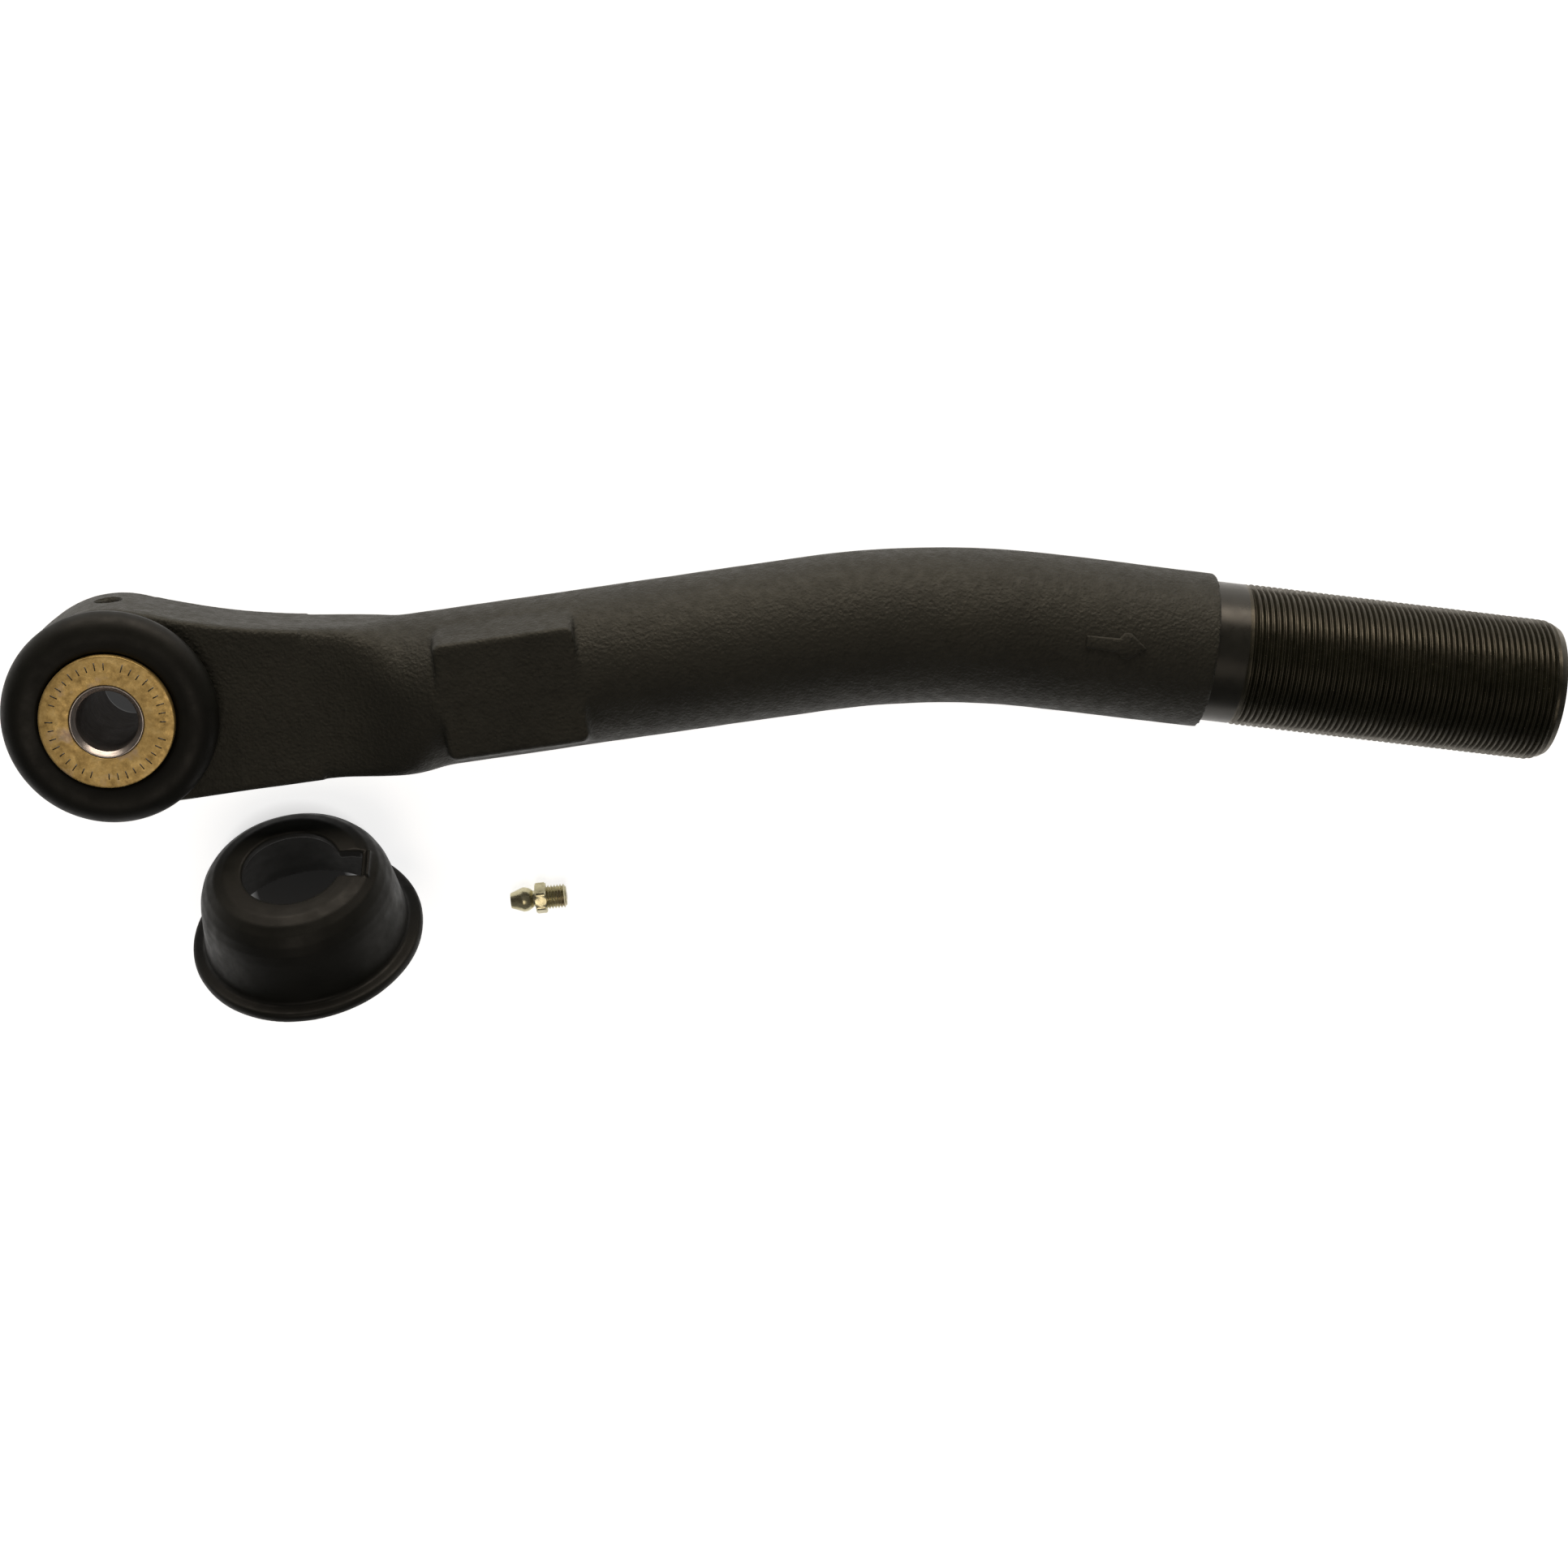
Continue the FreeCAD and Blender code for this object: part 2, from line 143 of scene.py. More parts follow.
def rounded(profile, closed=True):
    """Corners given as (r, z, radius) become short arcs; (r, z) stay sharp."""
    out = []
    count = len(profile)
    for i, corner in enumerate(profile):
        here = Vector(corner[:2])
        radius = corner[2] if len(corner) > 2 else 0
        ends = not closed and i in (0, count - 1)
        if not radius or ends:
            out.append(tuple(here))
            continue
        before = Vector(profile[i - 1][:2]) - here
        after = Vector(profile[(i + 1) % count][:2]) - here
        reach = min(radius, before.length * 0.48, after.length * 0.48)
        a = here + before.normalized() * reach
        b = here + after.normalized() * reach
        for k in range(6):
            t = k / 5
            point = a * (1 - t) ** 2 + here * 2 * t * (1 - t) + b * t * t
            out.append(tuple(point))
    return out


def lathe(name, profile, material=None, segments=128, closed=True):
    """Turn (r, z) corners, in millimetres, about Z."""
    profile = rounded(profile, closed)
    rows = len(profile)
    vertices = []
    for j in range(segments):
        angle = 2 * math.pi * j / segments
        for r, z in profile:
            vertices.append((r * math.cos(angle) * MM, r * math.sin(angle) * MM, z * MM))
    faces = []
    spans = rows if closed else rows - 1
    for j in range(segments):
        for i in range(spans):
            k = (i + 1) % rows
            n = (j + 1) % segments
            faces.append((j * rows + i, j * rows + k, n * rows + k, n * rows + i))
    return add_object(name, vertices, faces, material)


def box_object(name, low, high):
    xs, ys, zs = zip(low, high)
    corners = [(x, y, z) for x in xs for y in ys for z in zs]
    faces = [(0, 1, 3, 2), (4, 6, 7, 5), (0, 4, 5, 1), (2, 3, 7, 6), (0, 2, 6, 4), (1, 5, 7, 3)]
    return add_object(name, [Vector(c) * MM for c in corners], faces)


def tube(name, rings):
    """A closed skin through rings of points, each with the same number."""
    size = len(rings[0])
    vertices = [p for ring in rings for p in ring]
    faces = []
    for i in range(len(rings) - 1):
        for j in range(size):
            k = (j + 1) % size
            faces.append((i * size + j, i * size + k, (i + 1) * size + k, (i + 1) * size + j))
    faces.append(tuple(range(size)))
    faces.append(tuple((len(rings) - 1) * size + j for j in range(size)))
    return add_object(name, vertices, faces)


def apply_modifiers(obj):
    depsgraph = bpy.context.evaluated_depsgraph_get()
    mesh = bpy.data.meshes.new_from_object(obj.evaluated_get(depsgraph))
    obj.modifiers.clear()
    old = obj.data
    obj.data = mesh
    bpy.data.meshes.remove(old)
    return obj


def joined(name, objects):
    """One mesh from several, each left closed as it is."""
    work = bmesh.new()
    for obj in objects:
        part = obj.data.copy()
        part.transform(obj.matrix_world)
        work.from_mesh(part)
        bpy.data.meshes.remove(part)
        bpy.data.objects.remove(obj)
    mesh = bpy.data.meshes.new(name)
    work.to_mesh(mesh)
    work.free()
    result = bpy.data.objects.new(name, mesh)
    bpy.context.scene.collection.objects.link(result)
    return result


def remeshed(obj, voxel_mm, smoothing=4):
    """Melt overlapping bodies into one skin, with soft inner corners."""
    change = obj.modifiers.new("skin", "REMESH")
    change.mode = "VOXEL"
    change.voxel_size = voxel_mm * MM
    change.use_smooth_shade = True
    apply_modifiers(obj)
    soften = obj.modifiers.new("soften", "SMOOTH")
    soften.factor = 0.5
    soften.iterations = smoothing
    apply_modifiers(obj)
    obj.data.shade_smooth()
    return obj


def cut_with(obj, cutters):
    for cutter in cutters:
        change = obj.modifiers.new("cut", "BOOLEAN")
        change.operation = "DIFFERENCE"
        change.solver = "EXACT"
        change.object = cutter
        apply_modifiers(obj)
        bpy.data.objects.remove(cutter)
    return obj


# ---------------------------------------------------------------- frames of the rod
BAR_TO_ROW = Matrix.Rotation(ROW_ANGLE, 4, "Z") @ Matrix.Translation((0, -BALL_ABOVE_AXIS * MM, 0))
SHANK_TO_ROW = (
    BAR_TO_ROW
    @ Matrix.Translation((BEND_CORNER * MM, 0, 0))
    @ Matrix.Rotation(-BEND_ANGLE, 4, "Z")
    @ Matrix.Rotation(math.pi / 2, 4, "Y")
)


def centreline(s):
    """Point and direction of the bar's axis at distance s from the ball's foot, in bar millimetres."""
    tangent = BEND_R * math.tan(BEND_ANGLE / 2)
    start = BEND_CORNER - tangent
    length = BEND_R * BEND_ANGLE
    if s <= start:
        return Vector((s, 0, 0)), 0.0
    if s <= start + length:
        angle = (s - start) / BEND_R
        return Vector((start + BEND_R * math.sin(angle), -BEND_R * (1 - math.cos(angle)), 0)), -angle
    past = s - start - length + tangent
    along = Vector((math.cos(BEND_ANGLE), -math.sin(BEND_ANGLE), 0))
    return Vector((BEND_CORNER, 0, 0)) + along * past, -BEND_ANGLE


SHOULDER_S = BEND_CORNER - 2 * BEND_R * math.tan(BEND_ANGLE / 2) + BEND_R * BEND_ANGLE + SHOULDER


def neck_top(x):
    """The fillet that joins the head's circle to the bar, on the convex side."""
    rise = NECK_FILLET_R + BAR_R
    reach = math.sqrt((HEAD_R + NECK_FILLET_R) ** 2 - (rise - BALL_ABOVE_AXIS) ** 2)
    return rise - math.sqrt(NECK_FILLET_R**2 - min(0.0, x - reach) ** 2)


def neck_bottom(x):
    return -WEB_BOTTOM - (BAR_R - WEB_BOTTOM) * smoothstep(NECK_START, NECK_END, x)


def superellipse(s, top, bottom, half_depth, power, low_power=None, count=96):
    """Ring across the bar at distance s. Power 2 is round, higher is squarer; low_power is for below."""
    centre, turn = centreline(s)
    middle = (top + bottom) / 2
    half = (top - bottom) / 2
    points = []
    for i in range(count):
        angle = 2 * math.pi * (i + 0.5) / count
        c, d = math.cos(angle), math.sin(angle)
        bulge = low_power if low_power and c < 0 else power
        y = middle + half * math.copysign(abs(c) ** (2 / bulge), c)
        z = half_depth * math.copysign(abs(d) ** (2 / bulge), d)
        points.append((centre + Vector((-y * math.sin(turn), y * math.cos(turn), z))) * MM)
    return points


def smoothstep(a, b, x):
    t = min(1.0, max(0.0, (x - a) / (b - a)))
    return t * t * (3 - 2 * t)


# ---------------------------------------------------------------- the forging
def forged_head():
    rim = 1.2
    return lathe(
        "head",
        [
            (POLE, -FACE_Z),
            (HEAD_R - 0.4, -FACE_Z, rim),
            (HEAD_R, 0),
            (HEAD_R - 0.4, FACE_Z, rim),
            (POLE, FACE_Z),
        ],
        segments=192,
        closed=False,
    )


def forged_web():
    """Flat plate between the head and the scoops, a little thicker at the parting plane."""
    start, end = 12.0, NECK_START + 3
    outline = [(0, -WEB_BOTTOM), (end, -WEB_BOTTOM)]
    steps = 14
    for i in range(steps + 1):
        x = end - (end - start) * i / steps
        outline.append((x, neck_top(x)))
    outline.append((0, BALL_ABOVE_AXIS))
    edge = [(FACE_Z, 1.3), (FACE_Z - 0.5, 0.6), (FACE_Z - 1.4, 0.25)]
    levels = [(-z, inset) for z, inset in edge] + [(0, 0.0)] + list(reversed(edge))
    centre_y = 2.0
    rings = []
    for z, inset in levels:
        rings.append([Vector((x, y - math.copysign(inset, y - centre_y), z)) * MM for x, y in outline])
    return tube("web", rings)


def forged_neck():
    """From the flat web to the round bar, with the scoop on each face."""
    rings = []
    count = 24
    start, end = NECK_START - 6, NECK_END + 3
    for i in range(count + 1):
        x = start + (end - start) * i / count
        t = smoothstep(NECK_START + 2, NECK_END + 2, x)
        depth = FACE_Z - 0.1 + (BAR_R - FACE_Z + 0.1) * (0.35 * t + 0.65 * t * t)
        high = 9.0 - 7.0 * smoothstep(NECK_START + 2, NECK_END - 6, x)
        low = 9.0 - 7.0 * smoothstep(NECK_START + 12, NECK_END + 1, x)
        rings.append(superellipse(x, neck_top(x), neck_bottom(x), depth, high, low))
    return tube("neck", rings)


def forged_flats():
    """Spanner block: flat front and back, drafted sides, corners proud of the round bar."""
    width, depth = FLATS_HALF
    rings = []
    start, end = FLATS
    side, side_z = FLATS_SIDE
    rim = 0.6
    stations = (
        (start, 1.6), (start + 0.4, 0.8), (start + 1.6, 0.0),
        (end - 1.6, 0.0), (end - 0.4, 0.8), (end, 1.6),
    )
    for x, inset in stations:
        half = [(width - inset - rim, depth), (width - inset, depth - rim), (side - inset * 0.3, side_z)]
        outline = half + [(y, -z) for y, z in reversed(half)]
        outline += [(-y, -z) for y, z in outline]
        rings.append([Vector((x, y, z)) * MM for y, z in outline])
    return tube("flats", rings)


def forged_bar():
    """The round bar on both sides of the flats, through the bend to the shoulder."""
    rings = []
    count = 90
    start = NECK_END - 1
    for i in range(count + 1):
        s = start + (SHOULDER_S - start) * i / count
        rings.append(superellipse(s, BAR_R, -BAR_R, BAR_R, 2.0))
    return tube("bar", rings)


def flash_line():
    """Trimmed flash: a thin raised line where the forging dies met."""
    rings = []
    count = 70
    start, end = NECK_START, SHOULDER_S - 3
    for i in range(count + 1):
        s = start + (end - start) * i / count
        centre, turn = centreline(s)
        out = neck_top(s) if s < NECK_END else BAR_R
        across = Vector((-math.sin(turn), math.cos(turn), 0))
        ring = []
        for y, z in ((out - 2, -1.3), (out + 0.1, -0.7), (out + 0.1, 0.7), (out - 2, 1.3)):
            ring.append((centre + across * y + Vector((0, 0, z))) * MM)
        rings.append(ring)
    return tube("flash", rings)


def raised_arrow():
    """Arrow proud of the bar near the shoulder, pointing at the thread."""
    across = 2.4
    outline = [
        (37.4, -1.5), (45.6, -1.7), (46.8, -3.2), (48.6, -3.2), (52.6, 0.0),
        (48.6, 3.2), (46.8, 3.2), (45.6, 1.7), (37.4, 1.5),
    ]
    rings = []
    for depth, shrink in ((-2.0, 0.0), (0.3, 0.0), (0.46, 0.12), (0.56, 0.4)):
        ring = []
        for x, y in outline:
            y_side = y - math.copysign(min(abs(y), shrink), y)
            x_in = x - shrink if x > 48 else x + shrink * 0.3
            y_at = y_side + across
            height = math.sqrt(BAR_R**2 - y_at**2) + depth
            ring.append(Vector((-height, y_at, x_in)) * MM)
        rings.append(ring)
    obj = tube("arrow", rings)
    obj.data.transform(SHANK_TO_ROW)
    return obj


def swollen(obj, height):
    """Move each vertex along its normal by height(point), both in millimetres."""
    count = len(obj.data.vertices)
    places = np.empty(count * 3, np.float32)
    normals = np.empty(count * 3, np.float32)
    obj.data.vertices.foreach_get("co", places)
    obj.data.vertices.foreach_get("normal", normals)
    lift = np.array([height(Vector(p) * 1000) for p in places.reshape(-1, 3)], np.float32)
    places += np.repeat(lift * MM, 3) * normals
    obj.data.vertices.foreach_set("co", places)
    obj.data.update()
    return obj


def forge_ripple(p):
    """The dies' uneven skin: about a tenth of a millimetre, sunk to stay inside the CAD's box."""
    return noise.noise(p * 0.05) * 0.10 + noise.noise(p * 0.16) * 0.05 - 0.12


def head_cutters():
    """The bore for the races, with its lip and snap ring groove, and the grease port."""
    bore = lathe(
        "bore",
        [
            (POLE, -FACE_Z - 2),
            (16.9, -FACE_Z - 2),
            (16.3, -FACE_Z + 0.4),
            (16.3, -9.5),
            (RACE_R, -9.5),
            (RACE_R, 9.95),
            (RACE_R + 1.1, 9.95),
            (RACE_R + 1.1, 11.15),
            (RACE_R, 11.2),
            (RACE_R + 1.6, FACE_Z + 0.8),
            (RACE_R + 1.6, FACE_Z + 2),
            (POLE, FACE_Z + 2),
        ],
        closed=False,
    )
    port = lathe(
        "port",
        [
            (POLE, RACE_R - 3),
            (PORT_R, RACE_R - 3),
            (PORT_R, HEAD_R - 1.5),
            (PORT_R + 1.3, HEAD_R + 0.1),
            (PORT_R + 1.3, HEAD_R + 2),
            (POLE, HEAD_R + 2),
        ],
        segments=48,
        closed=False,
    )
    axis = Vector(MOUNT["grease_port"]["axis"])
    port.data.transform(axis.to_track_quat("Z", "Y").to_matrix().to_4x4())
    return [bore, port]


def build_forging(material):
    head = forged_head()
    head.data.transform(BAR_TO_ROW.inverted())
    pieces = [head, forged_web(), forged_neck(), forged_flats(), forged_bar(), flash_line()]
    body = joined("forging_skin", pieces)
    remeshed(body, 0.55, smoothing=4)
    body.data.transform(BAR_TO_ROW)
    swollen(body, forge_ripple)
    cut_with(body, head_cutters())
    body = joined("forging_skin", [body, raised_arrow()])
    body.data.materials.clear()
    body.data.materials.append(material)
    body.data.shade_smooth()
    sharp_edges(body, 40)
    return body


def build_shank(material, land_material):
    """Machined end of the rod: plain land, then the right-hand thread."""
    segments = 144
    land_end = SHOULDER + LAND_LENGTH
    root = THREAD_R - THREAD_DEPTH
    shape = ((0.0, THREAD_R), (0.125, THREAD_R), (0.44, root), (0.69, root))
    turns = int((SHANK_END - land_end) / THREAD_PITCH) + 3
    start = SHOULDER - 6
    land = [(POLE, start), (LAND_R, start), (LAND_R, SHOULDER + 0.2), (LAND_R, land_end - 0.4)]
    last = len(land) - 1
    rows = [(radius, s, False) for radius, s in land]
    for turn in range(turns):
        for step, radius in shape:
            rows.append((radius, land_end - THREAD_PITCH + (turn + step) * THREAD_PITCH, True))
    vertices = []
    for j in range(segments):
        angle = 2 * math.pi * j / segments
        for radius, s, threaded in rows:
            if threaded:
                s += THREAD_PITCH * j / segments
                runout = smoothstep(land_end - 0.2, land_end + 1.6, s)
                radius = LAND_R + (radius - LAND_R) * runout
                s = min(max(s, land_end - 0.2), SHANK_END - 0.15)
                tip = THREAD_R - 0.18 * max(0.0, s - SHANK_END + 4.2) ** 1.55
                radius = min(radius, tip)
            vertices.append((radius * math.cos(angle), radius * math.sin(angle), s))
    size = len(rows)
    faces = []
    for j in range(segments):
        n = (j + 1) % segments
        shift = 0 if n else len(shape)  # the last column meets the first one pitch further on
        for i in range(size - 1):
            a, b = j * size + i, j * size + i + 1
            if n:
                faces.append((a, b, n * size + i + 1, n * size + i))
                continue
            if i < last:
                faces.append((a, b, i + 1, i))
            elif i == last:
                faces.append((a, b, last + 1 + shift, last + 1, last))
            elif i + 1 + shift < size:
                faces.append((a, b, i + 1 + shift, i + shift))
    obj = add_object("rod_shank", [Vector(v) * MM for v in vertices], faces, material)
    obj.data.materials.append(land_material)
    for face in obj.data.polygons:
        if max(obj.data.vertices[i].co.z for i in face.vertices) < (land_end - 0.1) * MM:
            face.material_index = 1
    end = lathe(
        "rod_shank_end",
        [
            (POLE, SHANK_END - 0.6),
            (11.0, SHANK_END - 0.5, 1.0),
            (14.6, SHANK_END - 0.1, 0.6),
            (15.9, SHANK_END - 0.45),
            (15.9, SHANK_END - 3),
        ],
        material,
        closed=False,
    )
    for piece in (obj, end):
        piece.data.transform(SHANK_TO_ROW)
    return [sharp_edges(obj, 30), end]


# ---------------------------------------------------------------- materials
def new_material(name, colour, roughness, metallic=0.0):
    material = bpy.data.materials.new(name)
    material.use_nodes = True
    shader = material.node_tree.nodes["Principled BSDF"]
    shader.inputs["Base Color"].default_value = (*colour, 1)
    shader.inputs["Roughness"].default_value = roughness
    shader.inputs["Metallic"].default_value = metallic
    return material


class Nodes:
    """Short calls for building a material's node tree."""

    def __init__(self, material):
        self.tree = material.node_tree
        self.shader = self.tree.nodes["Principled BSDF"]
        self.place = self.tree.nodes.new("ShaderNodeTexCoord").outputs["Object"]

    def link(self, a, b):
        self.tree.links.new(a, b)

    def noise(self, scale, detail=4.0, rough=0.55, source=None):
        node = self.tree.nodes.new("ShaderNodeTexNoise")
        node.inputs["Scale"].default_value = scale
        node.inputs["Detail"].default_value = detail
        node.inputs["Roughness"].default_value = rough
        self.link(source or self.place, node.inputs["Vector"])
        return node.outputs["Fac"]

    def cells(self, scale, source=None):
        node = self.tree.nodes.new("ShaderNodeTexVoronoi")
        node.inputs["Scale"].default_value = scale
        self.link(source or self.place, node.inputs["Vector"])
        return node.outputs["Distance"]

    def stretched(self, scale):
        node = self.tree.nodes.new("ShaderNodeMapping")
        node.inputs["Scale"].default_value = scale
        self.link(self.place, node.inputs["Vector"])
        return node.outputs["Vector"]

    def ramp(self, source, stops):
        node = self.tree.nodes.new("ShaderNodeValToRGB")
        ramp = node.color_ramp
        while len(ramp.elements) < len(stops):
            ramp.elements.new(0.5)
        for element, (at, colour) in zip(ramp.elements, stops):
            element.position = at
            element.color = (*colour, 1) if len(colour) == 3 else colour
        self.link(source, node.inputs["Fac"])
        return node.outputs["Color"]

    def grey(self, source, low, high, values):
        return self.ramp(source, [(low, (values[0],) * 3), (high, (values[1],) * 3)])

    def mix(self, factor, a, b, kind="MIX"):
        node = self.tree.nodes.new("ShaderNodeMix")
        node.data_type = "RGBA"
        node.blend_type = kind
        if isinstance(factor, float):
            node.inputs[0].default_value = factor
        else:
            self.link(factor, node.inputs[0])
        self.link(a, node.inputs[6])
        self.link(b, node.inputs[7])
        return node.outputs[2]

    def bump(self, source, strength, distance, under=None):
        node = self.tree.nodes.new("ShaderNodeBump")
        node.inputs["Strength"].default_value = strength
        node.inputs["Distance"].default_value = distance
        self.link(source, node.inputs["Height"])
        if under:
            self.link(under, node.inputs["Normal"])
        return node.outputs["Normal"]

    def gloss(self, level, tint):
        self.shader.inputs["Specular IOR Level"].default_value = level
        self.shader.inputs["Specular Tint"].default_value = (*tint, 1)

    def set(self, socket, source):
        self.link(source, self.shader.inputs[socket])


def coated_steel():
    material = new_material("black_coating", (0.012, 0.011, 0.008), 0.5)
    n = Nodes(material)
    n.gloss(0.34, (0.96, 0.92, 0.78))
    colour = n.ramp(n.noise(55, 5), [(0.3, (0.0066, 0.0064, 0.0044)), (0.7, (0.0120, 0.0114, 0.0080))])
    n.set("Base Color", colour)
    n.set("Roughness", n.grey(n.noise(420, 4), 0.3, 0.7, (0.50, 0.68)))
    peel = n.bump(n.noise(1500, 3, 0.6), 1.0, 0.00028)
    n.set("Normal", n.bump(n.cells(950), 0.6, 0.00022, peel))
    return material


def oiled_thread():
    material = new_material("oiled_thread", (0.016, 0.015, 0.010), 0.34, 0.25)
    n = Nodes(material)
    n.gloss(0.5, (1.0, 0.88, 0.68))
    colour = n.ramp(
        n.noise(130, 6, 0.65),
        [(0.3, (0.0060, 0.0060, 0.0032)), (0.62, (0.0125, 0.0120, 0.0070)), (0.8, (0.026, 0.023, 0.013))],
    )
    specks = n.grey(n.noise(2600, 2), 0.70, 0.76, (0.0, 1.0))
    bright = n.ramp(n.noise(90), [(0.3, (0.10, 0.085, 0.05)), (0.8, (0.26, 0.23, 0.16))])
    n.set("Base Color", n.mix(specks, colour, bright))
    n.set("Roughness", n.grey(n.noise(420, 4), 0.3, 0.75, (0.24, 0.5)))
    n.set("Normal", n.bump(n.noise(1900, 3), 0.25, 0.00005))
    return material


def machined_land():
    material = new_material("machined_land", (0.02, 0.019, 0.014), 0.36, 0.15)
    n = Nodes(material)
    n.gloss(0.35, (1.0, 0.94, 0.84))
    colour = n.ramp(n.noise(90, 5), [(0.3, (0.009, 0.0088, 0.0068)), (0.7, (0.017, 0.0165, 0.013))])
    n.set("Base Color", colour)
    n.set("Roughness", n.grey(n.noise(300, 4), 0.3, 0.7, (0.26, 0.38)))
    n.set("Normal", n.bump(n.noise(900, 3), 0.1, 0.00004))
    return material


def rubber(name, dark, light):
    material = new_material(name, dark, 0.55)
    n = Nodes(material)
    n.gloss(0.16, (1.0, 0.95, 0.88))
    n.set("Base Color", n.ramp(n.noise(70, 6, 0.62), [(0.32, dark), (0.72, light)]))
    n.set("Roughness", n.grey(n.noise(260, 4), 0.3, 0.7, (0.42, 0.60)))
    fine = n.bump(n.noise(2200, 2), 0.16, 0.00005)
    n.set("Normal", n.bump(n.noise(90, 3), 0.18, 0.0003, fine))
    return material


def yellow_zinc(name, low, mid, high, metallic, gloss):
    material = new_material(name, mid, 0.4, metallic)
    n = Nodes(material)
    base = n.ramp(n.noise(300, 7, 0.7), [(0.28, low), (0.5, mid), (0.72, high)])
    iridescent = n.ramp(n.noise(150, 4), [(0.56, (0, 0, 0)), (0.72, (1, 1, 1))])
    purple = n.ramp(n.noise(500, 4), [(0.3, (0.26, 0.17, 0.12)), (0.7, (0.36, 0.28, 0.20))])
    n.set("Base Color", n.mix(iridescent, base, purple))
    n.set("Roughness", n.grey(n.noise(800, 4), 0.3, 0.7, gloss))
    n.set("Normal", n.bump(n.noise(2400, 3), 0.35, 0.00005))
    return material


def bare_steel(name, tone, roughness, grain=(1, 1, 1)):
    material = new_material(name, tone, roughness, 0.95)
    n = Nodes(material)
    rings = n.noise(400, 4, 0.6, n.stretched(grain))
    low = tuple(c * 0.7 for c in tone)
    high = tuple(min(1.0, c * 1.25) for c in tone)
    n.set("Base Color", n.ramp(rings, [(0.3, low), (0.7, high)]))
    n.set("Roughness", n.grey(n.noise(300, 4), 0.3, 0.7, (roughness * 0.8, roughness * 1.25)))
    n.set("Normal", n.bump(rings, 0.12, 0.00004))
    return material


def bearing_plastic():
    material = new_material("bearing_plastic", (0.55, 0.52, 0.42), 0.45)
    n = Nodes(material)
    n.set("Base Color", n.ramp(n.noise(200, 4), [(0.3, (0.48, 0.45, 0.35)), (0.7, (0.62, 0.59, 0.48))]))
    n.set("Roughness", n.grey(n.noise(500), 0.3, 0.7, (0.38, 0.52)))
    return material


# ---------------------------------------------------------------- ball joint
def build_sleeve(material):
    """Ball and sleeve in one, alike at both ends: half the outline is given and then mirrored."""
    neck_z = math.sqrt(BALL_R**2 - SLEEVE_NECK_R**2)
    half = [
        (SLEEVE_BORE_R, 0.0),
        (SLEEVE_BORE_R, 20.7, 0.15),
        (8.85, 21.85, 0.3),
        (SLEEVE_END_R, 21.75, 0.2),
        (SLEEVE_END_R, 19.0),
        (SLEEVE_NECK_R, 19.0, 0.15),
        (SLEEVE_NECK_R, neck_z),
    ]
    start = math.asin(SLEEVE_NECK_R / BALL_R)
    for i in range(1, 16):
        angle = start + (math.pi / 2 - start) * i / 15
        half.append((BALL_R * math.sin(angle), BALL_R * math.cos(angle)))
    lower = [(c[0], -c[1], *c[2:]) for c in reversed(half[1:-1])]
    return sharp_edges(lathe("sleeve", half + lower, material, 144), 30)


def build_washer(material):
    """Seal washer with a plain face."""
    inner, outer = WASHER_R
    low, high = WASHER_Z
    obj = lathe(
        "zinc_washer",
        [
            (inner, low, 0.2), (outer, low, 0.3), (outer, high, 0.5),
            (16.2, 21.95), (12.9, 21.92), (inner, high, 0.25),
        ],
        material,
        192,
    )
    return sharp_edges(obj, 40)


def washer_ticks(material):
    """Dark dashes a few hundredths proud of the washer's face, in place of stamped lettering."""
    pieces = []
    count = 40
    start, half_width, top = 13.1, 0.14, 21.965
    for k in range(count):
        if k % 10 == 9:
            continue
        angle = 2 * math.pi * k / count
        length = 1.5 + 0.5 * ((k * 7) % 3) / 2
        dash = box_object("dash", (start, -half_width, WASHER_Z[1]), (start + length, half_width, top))
        dash.data.transform(Matrix.Rotation(angle, 4, "Z"))
        pieces.append(dash)
    obj = joined("washer_ticks", pieces)
    obj.data.materials.append(material)
    return obj


def ring_band(name, outer, inner, material):
    """Closed skin between an outer and an inner chain of (r, z) corners."""
    return lathe(name, outer + list(reversed(inner)), material, 160)


def build_front_boot(material):
    """Foot, shoulder and lip: the three stretches meet at rings."""
    foot = ring_band(
        "boot_foot",
        [
            (22.5, 12.05), (24.18, 12.05), (24.18, 13.6), (24.9, 13.95),
            (25.9, 14.5), (26.6, 15.2), (26.95, 16.2),
        ],
        [(22.5, 12.06), (23.0, 13.6), (24.0, 14.6), (24.65, 15.5), (24.9, 16.2)],
        material,
    )
    shoulder = ring_band(
        "boot_shoulder",
        [
            (26.95, 16.2), (26.85, 17.1), (26.5, 18.1), (25.9, 19.1), (25.0, 20.0), (23.9, 20.7),
            (22.6, 21.1), (21.2, 21.2), (19.8, 21.0), (18.7, 20.75), (17.9, 20.6), (17.35, 20.35),
            (17.1, 19.9),
        ],
        [
            (24.9, 16.2), (24.75, 17.0), (24.2, 17.9), (23.3, 18.6), (22.2, 18.95), (21.0, 18.95),
            (19.8, 18.9), (18.6, 18.9), (17.6, 18.9), (17.1, 18.95),
        ],
        material,
    )
    lip = ring_band(
        "boot_lip",
        [(14.12, 18.95), (17.09, 18.95), (17.2, 18.6)],
        [(14.12, 16.7), (15.2, 16.7), (16.4, 17.4)],
        material,
    )
    return foot, shoulder, lip


# ---------------------------------------------------------------- loose pieces
def standing_place(direction, centre):
    """Matrix that puts Z along direction and the origin at centre."""
    axis = Vector(direction).normalized()
    right = (Vector((1, 0, 0)) - axis * axis.x).normalized()
    up = axis.cross(right)
    place = Matrix((right, up, axis)).transposed().to_4x4()
    return Matrix.Translation(Vector(centre) * MM) @ place


